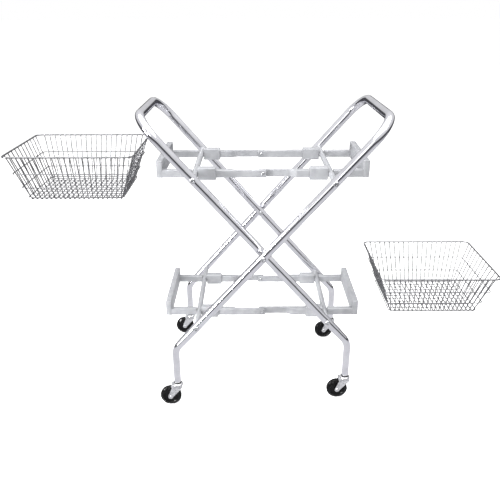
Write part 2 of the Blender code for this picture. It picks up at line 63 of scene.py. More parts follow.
LEG_RADIUS = 0.015
FOOT_RADIUS = 0.0122
LEG_WALL = 0.0015
TAPER_TOP = 0.290
HANDLE_CORNER = 0.086
KNEE_RADIUS = 0.062
TUBE_SIDES = 40
BOLT_SQUEEZE = 0.03
BOLT_SQUEEZE_REACH = 0.026
PIVOT_HOLE = 0.0044

BOLT_HEAD_HEIGHT = 0.0044
PIVOT_SHANK_RADIUS = 0.0040
TIE_SHANK_RADIUS = 0.0041
PIVOT_SEAT = 0.0047
WASHER_RADIUS = 0.0092
WASHER_THICKNESS = 0.0011
NUT_ACROSS_FLATS = 0.0125
SPACER_BORE = 0.0047
SPACER_GROOVE = 0.0022
RIVET_HEAD_HEIGHT = 0.0026
RIVET_SHANK_RADIUS = 0.003

CROSS_TUBE_BORE = 0.0048
CROSS_TUBE_LIP = 0.0009
ARM_WIDTH = 0.022
END_BAR_DEPTH = 0.020
WELD_RADIUS = 0.0019
RAIL_CORNER = 0.0028
SOCKET_CORNER = 0.0042
SHEET_EDGE = 0.0022
TONGUE_BLEND = 0.030
TONGUE_END_ROUND = 0.005
TONGUE_REACH = 0.085
TONGUE_HALF_GAP = 0.0004
RAIL_START = 0.0086

WIRE_RADIUS = 0.0018
RIM_RADIUS = 0.0028
LONG_SIDE_WIRES = 20
SHORT_SIDE_WIRES = 11
FLOOR_LENGTH_SHARE = 0.738
FLOOR_WIDTH_SHARE = 0.710
WIRE_BEND = 0.007
RIM_CORNER = 0.022
FAN_MARGIN = 0.060
FAN_MARGIN_AT_FLOOR = 0.016
BASKET_HOOPS = ((0.62, 0.016), (0.30, 0.014), (0.065, 0.012))

FLOOR_RADIUS = 60
FLOOR_GLOW = 0.52
FLOOR_FADE = (1.4, 3.6)
FLOOR_FADE_BEHIND = (0.7, 1.7)
WALL_LIGHT = 0.55
WALL_GREYS = ((0.0, 0.05), (0.05, 0.05), (0.13, 0.62), (0.55, 0.80), (0.90, 1.0))

PIVOT = Vector(next(j["pos_m"] for j in frame["joints"] if j["name"] == "frame_fold"))
CORNERS = [(end, hand) for end in ("front", "back") for hand in ("left", "right")]
RACK_HALVES = [(level, hand) for level in ("upper", "lower") for hand in ("left", "right")]
FRAME_OF = {
    ("upper", "left"): "inner_frame",
    ("upper", "right"): "outer_frame",
    ("lower", "left"): "outer_frame",
    ("lower", "right"): "inner_frame",
}


def centre(node):
    low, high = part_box(node)
    return (low + high) / 2


# ---------------------------------------------------------------- materials


def add_node(tree, kind, **inputs):
    node = tree.nodes.new(kind)
    for key, value in inputs.items():
        node.inputs[key.replace("_", " ")].default_value = value
    return node


def noise(tree, scale, detail=3.0, stretch=None):
    """A noise texture in the piece's own metres; stretch scales the coordinates along X, Y and Z."""
    coordinates = tree.nodes.new("ShaderNodeTexCoord")
    texture = add_node(tree, "ShaderNodeTexNoise", Scale=scale, Detail=detail)
    source = coordinates.outputs["Object"]
    if stretch:
        mapping = tree.nodes.new("ShaderNodeMapping")
        mapping.inputs["Scale"].default_value = stretch
        tree.links.new(source, mapping.inputs["Vector"])
        source = mapping.outputs["Vector"]
    tree.links.new(source, texture.inputs["Vector"])
    return texture.outputs["Fac"]


def spread(tree, source, low, high, start=0.3, end=0.7):
    """Maps start..end to low..high. The defaults suit the middle range of a noise."""
    node = tree.nodes.new("ShaderNodeMapRange")
    node.inputs["From Min"].default_value = start
    node.inputs["From Max"].default_value = end
    node.inputs["To Min"].default_value = low
    node.inputs["To Max"].default_value = high
    tree.links.new(source, node.inputs["Value"])
    return node.outputs["Result"]


def blend_colours(tree, factor, first, second):
    mix = tree.nodes.new("ShaderNodeMix")
    mix.data_type = "RGBA"
    mix.inputs[6].default_value = (*first, 1)
    mix.inputs[7].default_value = (*second, 1)
    tree.links.new(factor, mix.inputs[0])
    return mix.outputs[2]


def tint(tree, shader, factor, first, second):
    tree.links.new(blend_colours(tree, factor, first, second), shader.inputs["Base Color"])


def pick_by_ray(tree, ray_kind, usual, special):
    """Shows the special shader to one kind of ray and the usual one to all others."""
    mix = tree.nodes.new("ShaderNodeMixShader")
    tree.links.new(ray_kind, mix.inputs["Fac"])
    tree.links.new(usual, mix.inputs[1])
    tree.links.new(special, mix.inputs[2])
    return mix.outputs["Shader"]


def add_bumps(tree, shader, bumps):
    """Chains bump nodes given as (height source, distance in metres)."""
    normal = None
    for height, distance in bumps:
        bump = add_node(tree, "ShaderNodeBump", Strength=1.0, Distance=distance)
        tree.links.new(height, bump.inputs["Height"])
        if normal:
            tree.links.new(normal, bump.inputs["Normal"])
        normal = bump.outputs["Normal"]
    tree.links.new(normal, shader.inputs["Normal"])


def start_material(name, metallic, **values):
    material = bpy.data.materials.new(name)
    material.use_nodes = True
    tree = material.node_tree
    shader = tree.nodes["Principled BSDF"]
    shader.inputs["Metallic"].default_value = metallic
    for key, value in values.items():
        shader.inputs[key.replace("_", " ")].default_value = value
    return material, tree, shader


def chrome():
    """Plated tube: mirror bright, with a faint waviness left by drawing and bending."""
    material, tree, shader = start_material("chrome_tube", 1.0)
    cloud = noise(tree, 26, 2)
    tint(tree, shader, spread(tree, cloud, 0, 1), (0.80, 0.80, 0.835), (0.90, 0.90, 0.93))
    smear = noise(tree, 60, 4, stretch=(1, 0.4, 1))
    tree.links.new(spread(tree, smear, 0.05, 0.13), shader.inputs["Roughness"])
    add_bumps(tree, shader, [(noise(tree, 38, 1), 0.00026), (noise(tree, 900, 2), 0.000005)])
    return material


def silver_paint():
    """Silver-grey enamel over tube and plate, with a little orange peel and handling marks."""
    material, tree, shader = start_material("silver_paint", 0.10, Coat_Weight=0.15, Coat_Roughness=0.2)
    cloud = noise(tree, 38, 5)
    tint(tree, shader, spread(tree, cloud, 0, 1), (0.255, 0.26, 0.275), (0.325, 0.33, 0.345))
    rubbed = noise(tree, 70, 4, stretch=(0.3, 1, 1))
    tree.links.new(spread(tree, rubbed, 0.34, 0.50), shader.inputs["Roughness"])
    add_bumps(tree, shader, [(noise(tree, 420, 2), 0.00004), (noise(tree, 1500, 2), 0.00001)])
    return material


def plated(name, dark, light, roughness, spangle):
    """Zinc plate, whose crystal patches vary in brightness and gloss."""
    material, tree, shader = start_material(name, 1.0)
    coordinates = tree.nodes.new("ShaderNodeTexCoord")
    cells = add_node(tree, "ShaderNodeTexVoronoi", Scale=spangle)
    tree.links.new(coordinates.outputs["Object"], cells.inputs["Vector"])
    patch = tree.nodes.new("ShaderNodeSeparateColor")
    tree.links.new(cells.outputs["Color"], patch.inputs["Color"])
    tint(tree, shader, patch.outputs["Red"], dark, light)
    gloss = spread(tree, patch.outputs["Green"], roughness - 0.06, roughness + 0.08, 0, 1)
    tree.links.new(gloss, shader.inputs["Roughness"])
    add_bumps(tree, shader, [(noise(tree, 320, 3), 0.00007), (noise(tree, 1800, 2), 0.000015)])
    return material


def wheel_black():
    """Hard black wheel: glossy, with fine moulding grain and a few dull scuffs."""
    material, tree, shader = start_material("wheel_black", 0.0, Coat_Weight=1.0, Coat_Roughness=0.05)
    shader.inputs["Specular IOR Level"].default_value = 0.05
    shader.inputs["Coat IOR"].default_value = 1.25
    scuffs = noise(tree, 160, 5)
    worn = spread(tree, scuffs, 0, 1, 0.5, 0.8)
    tint(tree, shader, worn, (0.001, 0.001, 0.0012), (0.006, 0.006, 0.0065))
    tree.links.new(spread(tree, scuffs, 0.16, 0.36), shader.inputs["Roughness"])
    add_bumps(tree, shader, [(noise(tree, 1100, 3), 0.00003)])
    return material


def plastic(name, grain, first, second, roughness):
    """Moulded plastic, matt and slightly cloudy."""
    material, tree, shader = start_material(name, 0.0)
    cloud = noise(tree, grain, 3)
    tint(tree, shader, spread(tree, cloud, 0, 1), first, second)
    tree.links.new(spread(tree, cloud, *roughness), shader.inputs["Roughness"])
    add_bumps(tree, shader, [(noise(tree, 1400, 3), 0.00003)])
    return material


def steel_wire():
    """Chromed wire, darker than the tubes, with random spots that are lighter and duller."""
    material, tree, shader = start_material("basket_wire", 1.0)
    cloud = noise(tree, 90, 4)
    tint(tree, shader, spread(tree, cloud, 0, 1), (0.16, 0.16, 0.165), (0.34, 0.34, 0.35))
    tree.links.new(spread(tree, cloud, 0.2, 0.4), shader.inputs["Roughness"])
    add_bumps(tree, shader, [(noise(tree, 700, 2), 0.00005)])
    return material


def pale_floor():
    """Near-white floor. Mirror surfaces see it darken with distance, like a lit sweep in a dark room."""
    material, tree, shader = start_material("pale_floor", 0.0)
    cloud = noise(tree, 3, 3)
    tint(tree, shader, spread(tree, cloud, 0, 1), (0.90, 0.90, 0.90), (0.92, 0.92, 0.92))
    shader.inputs["Roughness"].default_value = 0.9
    shader.inputs["Specular IOR Level"].default_value = 0.1
    coordinates = tree.nodes.new("ShaderNodeTexCoord")
    distance = tree.nodes.new("ShaderNodeVectorMath")
    distance.operation = "LENGTH"
    tree.links.new(coordinates.outputs["Object"], distance.inputs[0])
    split = tree.nodes.new("ShaderNodeSeparateXYZ")
    tree.links.new(coordinates.outputs["Object"], split.inputs["Vector"])
    far = spread(tree, distance.outputs["Value"], 0, 1, *FLOOR_FADE)
    behind = spread(tree, split.outputs["Y"], 0, 1, *FLOOR_FADE_BEHIND)
    fall = tree.nodes.new("ShaderNodeMath")
    fall.operation = "MAXIMUM"
    tree.links.new(far, fall.inputs[0])
    tree.links.new(behind, fall.inputs[1])
    seen = blend_colours(tree, fall.outputs["Value"], (0.71, 0.71, 0.74), (0.07, 0.07, 0.08))
    glow = tree.nodes.new("ShaderNodeEmission")
    tree.links.new(seen, glow.inputs["Color"])
    lift = tree.nodes.new("ShaderNodeEmission")
    lift.inputs["Strength"].default_value = FLOOR_GLOW
    lit = tree.nodes.new("ShaderNodeAddShader")
    tree.links.new(shader.outputs["BSDF"], lit.inputs[0])
    tree.links.new(lift.outputs["Emission"], lit.inputs[1])
    rays = tree.nodes.new("ShaderNodeLightPath").outputs
    by_gloss = pick_by_ray(tree, rays["Is Glossy Ray"], lit.outputs["Shader"], glow.outputs["Emission"])
    tree.links.new(by_gloss, tree.nodes["Material Output"].inputs["Surface"])
    return material


MATERIALS = {
    "chrome_tube": chrome(),
    "silver_paint": silver_paint(),
    "fastener_zinc": plated("fastener_zinc", (0.56, 0.565, 0.58), (0.78, 0.785, 0.80), 0.22, 300),
    "caster_zinc": plated("caster_zinc", (0.60, 0.605, 0.62), (0.90, 0.90, 0.91), 0.24, 190),
    "wheel_black": wheel_black(),
    # Near-black material of the ring that paints the shade in the caster's raceway gap.
    "painted_raceway_shade": plastic("painted_raceway_shade", 500, (0.012, 0.012, 0.013), (0.035, 0.035, 0.036), (0.42, 0.6)),
    "spacer_plastic": plastic("grey_spacer", 300, (0.10, 0.10, 0.105), (0.16, 0.16, 0.165), (0.38, 0.55)),
    "basket_wire": steel_wire(),
}


# ---------------------------------------------------------------- mesh building


class Shape:
    """Points and faces of one piece, which may be several closed shells."""

    def __init__(self):
        self.points = []
        self.faces = []

    def add_ring(self, ring):
        start = len(self.points)
        self.points.extend(ring)
        return list(range(start, start + len(ring)))

    def bridge(self, first, second):
        count = len(first)
        for i in range(count):
            after = (i + 1) % count
            self.faces.append((first[i], first[after], second[after], second[i]))

    def loft(self, rings, closed=False, caps=True):
        """Skins rings of equal length in order; closed joins the last to the first."""
        made = [self.add_ring(ring) for ring in rings]
        for first, second in zip(made, made[1:]):
            self.bridge(first, second)
        if closed:
            self.bridge(made[-1], made[0])
        elif caps:
            self.faces.append(tuple(reversed(made[0])))
            self.faces.append(tuple(made[-1]))

    def mesh(self, name, smooth=40):
        mesh = bpy.data.meshes.new(name)
        mesh.from_pydata([tuple(point) for point in self.points], [], self.faces)
        tidy = bmesh.new()
        tidy.from_mesh(mesh)
        bmesh.ops.recalc_face_normals(tidy, faces=tidy.faces)
        tidy.to_mesh(mesh)
        tidy.free()
        mesh.shade_smooth()
        mesh.set_sharp_from_angle(angle=math.radians(smooth))
        return mesh


def as_object(name, data):
    item = bpy.data.objects.new(name, data)
    bpy.context.scene.collection.objects.link(item)
    return item


def shifted(x, y, z):
    return Matrix.Translation((x, y, z))


def place_piece(name, mesh, slot, body, replaces=(), material=None):
    """Adds a finished piece to a body, with the material of its slot unless another is named."""
    piece = as_object(name, mesh)
    mesh.materials.clear()
    mesh.materials.append(MATERIALS[material or slot])
    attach(piece, body)
    if replaces:
        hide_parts(*replaces)


def circle_ring(place, side, across, side_radius, across_radius, count):
    ring = []
    for i in range(count):
        angle = 2 * math.pi * i / count
        sideways = side * (side_radius * math.cos(angle))
        ring.append(place + sideways + across * (across_radius * math.sin(angle)))
    return ring


def path_frames(points, side, closed=False):
    """Each path point with a side and an across direction that turn with the path."""
    count = len(points)
    frames = []
    for i, place in enumerate(points):
        before = points[i - 1] if i or closed else place
        after = points[(i + 1) % count] if i + 1 < count or closed else place
        along = (after - before).normalized()
        side = (side - along * side.dot(along)).normalized()
        frames.append((place, side, along.cross(side)))
    return frames


def sweep(shape, points, radius, sides, closed=False, start_side=(0, 1, 0)):
    """A solid round bar along a path."""
    frames = path_frames(points, Vector(start_side), closed)
    rings = [circle_ring(place, side, across, radius, radius, sides) for place, side, across in frames]
    shape.loft(rings, closed=closed)


def rounded_path(corners, radii, steps):
    """Corner points joined by straight runs, with an arc of each given radius at the inner ones."""
    points = [corners[0]]
    for before, corner, after, radius in zip(corners, corners[1:], corners[2:], radii):
        into = (corner - before).normalized()
        out = (after - corner).normalized()
        turn = into.angle(out)
        inward = (out - into).normalized()
        middle = corner + inward * radius / math.cos(turn / 2)
        spoke = corner - into * radius * math.tan(turn / 2) - middle
        for i in range(steps + 1):
            swing = turn * i / steps
            points.append(middle + spoke * math.cos(swing) + into * radius * math.sin(swing))
    points.append(corners[-1])
    return points


def resample(points, step):
    """Splits long straight runs, so that the surface can change along them."""
    made = [points[0]]
    for start, end in zip(points, points[1:]):
        parts = max(1, math.ceil((end - start).length / step))
        made.extend(start.lerp(end, i / parts) for i in range(1, parts + 1))
    return made


def turned_mesh(name, profile, sides, axis="Z", smooth=32):
    """Turns a profile of (radius, height) about Z or Y. A profile that stays off the axis makes a ring."""
    shape = Shape()
    rings = []
    for radius, height in profile:
        ring = []
        for i in range(sides if radius > 0 else 1):
            angle = 2 * math.pi * i / sides
            a, b = radius * math.cos(angle), radius * math.sin(angle)
            ring.append(Vector((a, b, height) if axis == "Z" else (a, height, b)))
        rings.append(shape.add_ring(ring))
    pairs = list(zip(rings, rings[1:]))
    if profile[0][0] > 0:
        pairs.append((rings[-1], rings[0]))
    for first, second in pairs:
        if len(first) == 1 or len(second) == 1:
            tip, ring = (first, second) if len(first) == 1 else (second, first)
            for i in range(sides):
                shape.faces.append((tip[0], ring[i], ring[(i + 1) % sides]))
        else:
            shape.bridge(first, second)
    return shape.mesh(name, smooth)


def cutter(radius, low, high, sides, axis="Z"):
    """A plain round plug, for cutting a hole."""
    return turned_mesh("cutter", [(0, low), (radius, low), (radius, high), (0, high)], sides, axis)


def apply_all(item, tools, bevel):
    """Applies Boolean tools and a small bevel, and returns the finished mesh."""
    for tool, operation in tools:
        modifier = item.modifiers.new(tool.name, "BOOLEAN")
        modifier.operation = operation
        modifier.object = tool
    if bevel:
        modifier = item.modifiers.new("edges", "BEVEL")
        modifier.width = bevel
        modifier.segments = 2
        modifier.limit_method = "ANGLE"
        modifier.angle_limit = math.radians(38)
    bpy.context.view_layer.update()
    depsgraph = bpy.context.evaluated_depsgraph_get()
    mesh = bpy.data.meshes.new_from_object(item.evaluated_get(depsgraph))
    for extra in [item] + [tool for tool, _ in tools]:
        bpy.data.objects.remove(extra, do_unlink=True)
    mesh.shade_smooth()
    mesh.set_sharp_from_angle(angle=math.radians(38))
    return mesh


def arc_profile(centre_point, radius, start, end, steps):
    """Points of a circular arc in (radius, height) terms, by angle in degrees."""
    points = []
    for i in range(steps + 1):
        angle = math.radians(start + (end - start) * i / steps)
        across = centre_point[0] + radius * math.cos(angle)
        along = centre_point[1] + radius * math.sin(angle)
        points.append((across, along))
    return points


def rounded_section(y_range, z_range, corner, steps=4):
    """A rounded rectangle in (y, z)."""
    points = []
    (y0, y1), (z0, z1) = y_range, z_range
    corner = min(corner, (y1 - y0) / 2.02, (z1 - z0) / 2.02)
    middles = (
        (y1 - corner, z1 - corner),
        (y0 + corner, z1 - corner),
        (y0 + corner, z0 + corner),
        (y1 - corner, z0 + corner),
    )
    for quarter, (y, z) in enumerate(middles):
        for i in range(steps + 1):
            angle = math.pi / 2 * (quarter + i / steps)
            points.append((y + corner * math.cos(angle), z + corner * math.sin(angle)))
    return points


def bar_rings(stations, corner, edge):
    """Rings of a rounded bar along X through stations (x, (y0, y1), (z0, z1)), with small end rounds."""
    rings = []
    first, last = stations[0][0], stations[-1][0]
    towards = math.copysign(1, last - first)

    def ring(x, ys, zs, inset):
        ys = (ys[0] + inset, ys[1] - inset)
        zs = (zs[0] + inset, zs[1] - inset)
        section = rounded_section(ys, zs, max(corner - inset, edge * 0.3))
        return [Vector((x, y, z)) for y, z in section]

    for angle in (0, 30, 60):
        share = math.radians(angle)
        x = first + towards * edge * (1 - math.cos(share))
        rings.append(ring(x, *stations[0][1:], edge * (1 - math.sin(share))))
    for x, ys, zs in stations:
        shift = edge * towards if x == first else -edge * towards if x == last else 0
        rings.append(ring(x + shift, ys, zs, 0))
    for angle in (60, 30, 0):
        share = math.radians(angle)
        x = last - towards * edge * (1 - math.cos(share))
        rings.append(ring(x, *stations[-1][1:], edge * (1 - math.sin(share))))
    return rings


# ---------------------------------------------------------------- frames


def frame_tube(node, body, direction, bolts):
    """A U-shaped leg-and-handle tube, squeezed a little where bolts pass through it."""
    low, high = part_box(node)
    half_width = high.y - LEG_RADIUS
    handle_z = high.z - LEG_RADIUS
    handle_x = (high.x if direction > 0 else -low.x) - LEG_RADIUS
    foot_x = (-low.x if direction > 0 else high.x) - FOOT_RADIUS
    slope = handle_x / (handle_z - PIVOT.z)
    knee_z = PIVOT.z - foot_x / slope
    half = [(-foot_x, low.z), (-foot_x, knee_z), (handle_x, handle_z)]
    corners = [Vector((direction * x, -half_width, z)) for x, z in half]
    corners += [Vector((direction * x, half_width, z)) for x, z in reversed(half)]
    radii = (KNEE_RADIUS, HANDLE_CORNER, HANDLE_CORNER, KNEE_RADIUS)
    points = resample(rounded_path(corners, radii, 22), 0.007)
    frames = path_frames(points, Vector((0, 1, 0)))
    taper_end = knee_z - KNEE_RADIUS * math.tan(math.atan(slope) / 2)
    shape = Shape()
    outer, inner = [], []
    for place, side, across in frames:
        near = min((place - Vector((bolt.x, place.y, bolt.z))).length for bolt in bolts)
        share = max(0.0, 1 - near / BOLT_SQUEEZE_REACH)
        squeeze = BOLT_SQUEEZE * share * share * (3 - 2 * share) * (abs(place.y) > half_width - LEG_RADIUS)
        flat, wide = 1 - squeeze, 1 + squeeze * 0.55
        drawn = min(1, max(0, (place.z - taper_end) / (TAPER_TOP - taper_end)))
        radius = FOOT_RADIUS + (LEG_RADIUS - FOOT_RADIUS) * drawn
        bore = radius - LEG_WALL
        outer.append(circle_ring(place, side, across, radius * flat, radius * wide, TUBE_SIDES))
        inner.append(circle_ring(place, side, across, bore * flat, bore * wide, TUBE_SIDES))
    shape.loft(outer + list(reversed(inner)), closed=True)
    drill = cutter(PIVOT_HOLE, -2 * half_width, 2 * half_width, 32, "Y")
    drill.transform(shifted(PIVOT.x, 0, PIVOT.z))
    tools = [(as_object(f"{body}_drill", drill), "DIFFERENCE")]
    mesh = apply_all(as_object(f"{body}_blank", shape.mesh(node)), tools, 0)
    place_piece(f"{body}_bent_tube", mesh, "chrome_tube", body, (node,))


def bolt_head_profile(face, outward, radius, height):
    """A truss head with a raised ring around a dished drive, from its rim inwards to the axis."""
    dish, crest = radius * 0.46, radius * 0.62
    profile = [(radius, face), (radius, face + outward * height * 0.22)]
    for i in range(1, 7):
        angle = math.radians(90 * i / 6)
        reach = crest + (radius - crest) * math.cos(angle)
        profile.append((reach, face + outward * height * (0.22 + 0.78 * math.sin(angle))))
    profile.append((dish * 1.06, face + outward * height * 0.96))
    profile.append((dish * 0.86, face + outward * height * 0.34))
    profile.append((dish * 0.30, face + outward * height * 0.26))
    profile.append((0, face + outward * height * 0.26))
    return profile


def hex_nut(shape, x, z, low_y, high_y, across_flats):
    """A hexagonal nut with chamfered corners, its axis along Y."""
    corner = across_flats / math.sqrt(3)
    chamfer = (high_y - low_y) * 0.16
    rings = []
    for y, share in ((low_y, 0.88), (low_y + chamfer, 1.0), (high_y - chamfer, 1.0), (high_y, 0.88)):
        ring = []
        for i in range(24):
            angle = math.pi / 12 * i
            flat = across_flats / 2 / math.cos((angle + math.pi / 6) % (math.pi / 3) - math.pi / 6)
            reach = min(flat, corner * share)
            ring.append(Vector((x + reach * math.cos(angle), y, z + reach * math.sin(angle))))
        rings.append(ring)
    shape.loft(rings)


def pivot_set(side, label):
    """Head, shank, washer and nut of one pivot bolt, and the flanged spacer between the legs."""
    node = f"pivot_bolt_{label}"
    low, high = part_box(node)
    outside = high.y if side > 0 else low.y
    inside = low.y if side > 0 else high.y
    head_radius = (high.z - low.z) / 2
    face = outside - side * BOLT_HEAD_HEIGHT
    seat = inside + side * PIVOT_SEAT
    washer_face = seat + side * WASHER_THICKNESS
    shank = PIVOT_SHANK_RADIUS
    profile = [(0, inside), (0.0036, inside), (shank, inside + side * 0.0006), (shank, seat)]
    profile += [(WASHER_RADIUS, seat), (WASHER_RADIUS, washer_face), (shank, washer_face), (shank, face)]
    profile += bolt_head_profile(face, side, head_radius, BOLT_HEAD_HEIGHT)
    mesh = turned_mesh(node, profile, 40, "Y")
    mesh.transform(shifted(PIVOT.x, 0, PIVOT.z))
    place_piece(f"pivot_screw_{label}", mesh, "fastener_zinc", "outer_frame", (node,))
    nut = Shape()
    ys = sorted((inside + side * 0.0007, seat - side * 0.0001))
    hex_nut(nut, PIVOT.x, PIVOT.z, *ys, NUT_ACROSS_FLATS)
    place_piece(f"pivot_nut_{label}", nut.mesh("pivot_nut", 20), "fastener_zinc", "outer_frame")
    spacer = f"pivot_spacer_{label}"
    low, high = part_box(spacer)
    radius = (high.z - low.z) / 2
    y0, y1 = low.y, high.y
    edge, waist = 0.0006, (y1 - y0) / 3
    groove = radius - SPACER_GROOVE
    collar = [(SPACER_BORE, y0), (radius - edge, y0), (radius, y0 + edge), (radius, y0 + waist - edge)]
    collar += [(groove, y0 + waist), (groove, y1 - waist)]
    collar += [(radius, y1 - waist + edge), (radius, y1 - edge), (radius - edge, y1), (SPACER_BORE, y1)]
    mesh = turned_mesh(spacer, collar, 40, "Y")
    mesh.transform(shifted(PIVOT.x, 0, PIVOT.z))
    place_piece(f"pivot_bush_{label}", mesh, "spacer_plastic", "outer_frame", (spacer,))


# ---------------------------------------------------------------- racks


def tie_bolt(level, hand):
    """A long bolt through a cross tube, with a domed head outside each leg."""
    node = f"tie_bolt_{level}_{hand}"
    low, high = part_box(node)
    middle = centre(node)
    height = BOLT_HEAD_HEIGHT
    head = bolt_head_profile(high.y - height, 1, (high.z - low.z) / 2, height)
    profile = [(r, -y) for r, y in reversed(head)] + [(TIE_SHANK_RADIUS, -high.y + height)]
    profile += [(TIE_SHANK_RADIUS, high.y - height)] + head
    mesh = turned_mesh(node, profile, 36, "Y")
    mesh.transform(shifted(middle.x, 0, middle.z))
    body = FRAME_OF[(level, hand)]
    place_piece(f"tie_screw_{level}_{hand}", mesh, "fastener_zinc", body, (node,))


def cross_tube(level, hand):
    """The tube that a rack half turns on, open at both ends with a rolled lip."""
    node = f"cross_tube_{level}_{hand}"
    low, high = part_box(node)
    middle = centre(node)
    radius, bore = (high.z - low.z) / 2, CROSS_TUBE_BORE
    lip = CROSS_TUBE_LIP
    profile = [(bore, low.y + lip), (bore + lip, low.y), (radius - lip, low.y), (radius, low.y + lip)]
    profile += [(radius, high.y - lip), (radius - lip, high.y), (bore + lip, high.y), (bore, high.y - lip)]
    mesh = turned_mesh(node, profile, 40, "Y")
    mesh.transform(shifted(middle.x, 0, middle.z))
    rack = f"rack_{level}_{hand}"
    place_piece(f"turning_tube_{level}_{hand}", mesh, "silver_paint", rack, (node,))


def end_frame(level, hand):
    """The upright end bar and its two arms, as folded and welded rectangular tube."""
    node = f"end_frame_{level}_{hand}"
    low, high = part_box(node)
    direction = -1 if hand == "left" else 1
    tube = centre(f"cross_tube_{level}_{hand}")
    rail_low, rail_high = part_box(f"rail_{level}_{hand}_front")
    outer = high.x if direction > 0 else low.x
    inner = outer - direction * END_BAR_DEPTH
    tube_low, tube_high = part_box(f"cross_tube_{level}_{hand}")
    near = tube.x + direction * ((tube_high.x - tube_low.x) / 2 - 0.0004)
    shape = Shape()
    ys, zs = (low.y, high.y), (low.z, high.z)
    shape.loft(bar_rings([(inner, ys, zs), (outer, ys, zs)], SHEET_EDGE, SHEET_EDGE))
    zs = (rail_low.z + 0.0004, rail_high.z - 0.0004)
    for start, stop in ((low.y, low.y + ARM_WIDTH), (high.y - ARM_WIDTH, high.y)):
        ys = (start + 0.0005, stop - 0.0005)
        shape.loft(bar_rings([(near, ys, zs), (inner + direction * 0.004, ys, zs)], RAIL_CORNER, 0.0008))
    rack = f"rack_{level}_{hand}"
    place_piece(f"end_bar_{level}_{hand}", shape.mesh(node), "silver_paint", rack, (node,))


def socket(level, hand, end):
    """The sleeve that holds a rail's outer end, with two weld beads against the cross tube."""
    node = f"rail_socket_{level}_{hand}_{end}"
    low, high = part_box(node)
    inward = 1 if hand == "left" else -1
    start, stop = (low.x, high.x) if inward > 0 else (high.x, low.x)
    rail_low, rail_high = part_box(f"rail_{level}_{hand}_{end}")
    ys, zs = (low.y, high.y), (low.z, high.z)
    outside = bar_rings([(start, ys, zs), (stop, ys, zs)], SOCKET_CORNER, 0.0016)
    hole_y = (rail_low.y - 0.0002, rail_high.y + 0.0002)
    hole_z = (rail_low.z - 0.0002, rail_high.z + 0.0002)
    inside = []
    for x in (stop, start):
        section = rounded_section(hole_y, hole_z, RAIL_CORNER)
        inside.append([Vector((x, y, z)) for y, z in section])
    shape = Shape()
    shape.loft(outside + inside, closed=True)
    tube = centre(f"cross_tube_{level}_{hand}")
    tube_low, tube_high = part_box(f"cross_tube_{level}_{hand}")
    radius = (tube_high.z - tube_low.z) / 2
    for z_sign in (-1, 1):
        points = []
        for i in range(25):
            share = i / 24
            y = low.y + 0.002 + (high.y - low.y - 0.004) * share
            ripple = 0.00025 * math.cos(share * math.pi * 12)
            lift = radius * 0.80
            x = tube.x + inward * (math.sqrt(radius**2 - lift**2) + 0.0018)
            points.append(Vector((x, y, tube.z + z_sign * (lift + ripple))))
        sweep(shape, points, WELD_RADIUS, 10, start_side=(1, 0, 0))
    rack = f"rack_{level}_{hand}"
    mesh = shape.mesh(node)
    place_piece(f"rail_sleeve_{level}_{hand}_{end}", mesh, "silver_paint", rack, (node,))


def rail(level, hand, end):
    """A rectangular rail that is pressed to half its width for the lap joint at the middle."""
    node = f"rail_{level}_{hand}_{end}"
    low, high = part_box(node)
    inward = 1 if hand == "left" else -1
    start, stop = (low.x, high.x) if inward > 0 else (high.x, low.x)
    ys = (low.y, high.y)
    middle = (ys[0] + ys[1]) / 2
    keeps_high = (end == "back") == (hand == "left")
    tongue = (middle + TONGUE_HALF_GAP, ys[1]) if keeps_high else (ys[0], middle - TONGUE_HALF_GAP)
    plain_length = abs(centre(f"cross_tube_{level}_{hand}").x) - TONGUE_REACH - RAIL_START
    shoulder = start + inward * plain_length
    stations = [(start, ys, (low.z, high.z))]
    for i in range(9):
        share = i / 8
        ease = share * share * (3 - 2 * share)
        pressed = tuple(a + (b - a) * ease for a, b in zip(ys, tongue))
        x = shoulder - inward * TONGUE_BLEND * (1 - share)
        stations.append((x, pressed, (low.z, high.z)))
    for i in range(7):
        angle = math.radians(84 * i / 6)
        cut = TONGUE_END_ROUND * (1 - math.cos(angle))
        x = stop - inward * TONGUE_END_ROUND * (1 - math.sin(angle))
        stations.append((x, tongue, (low.z + cut, high.z - cut)))
    shape = Shape()
    shape.loft(bar_rings(stations, RAIL_CORNER, 0.0007))
    rack = f"rack_{level}_{hand}"
    place_piece(f"rail_bar_{level}_{hand}_{end}", shape.mesh(node), "silver_paint", rack, (node,))


def centre_rivet(level, end):
    """A domed rivet in one rail's tongue, riding on that rail's rack half."""
    node = f"centre_rivet_{level}_{end}"
    low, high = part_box(node)
    middle = centre(node)
    radius = (high.z - low.z) / 2
    head = low.y + RIVET_HEAD_HEIGHT
    shank = RIVET_SHANK_RADIUS
    profile = [(0, low.y)]
    for i in range(1, 8):
        angle = math.radians(90 * i / 8)
        profile.append((radius * math.sin(angle), head - RIVET_HEAD_HEIGHT * math.cos(angle) * 0.98))
    profile += [(radius, head - 0.0002), (shank, head), (shank, high.y - 0.0003)]
    profile += [(0.0027, high.y), (0, high.y)]
    mesh = turned_mesh(node, profile, 32, "Y")
    mesh.transform(shifted(middle.x, 0, middle.z))
    hand = "left" if end == "front" else "right"
    place_piece(f"hinge_rivet_{level}_{end}", mesh, "fastener_zinc", f"rack_{level}_{hand}", (node,))


# ---------------------------------------------------------------- casters

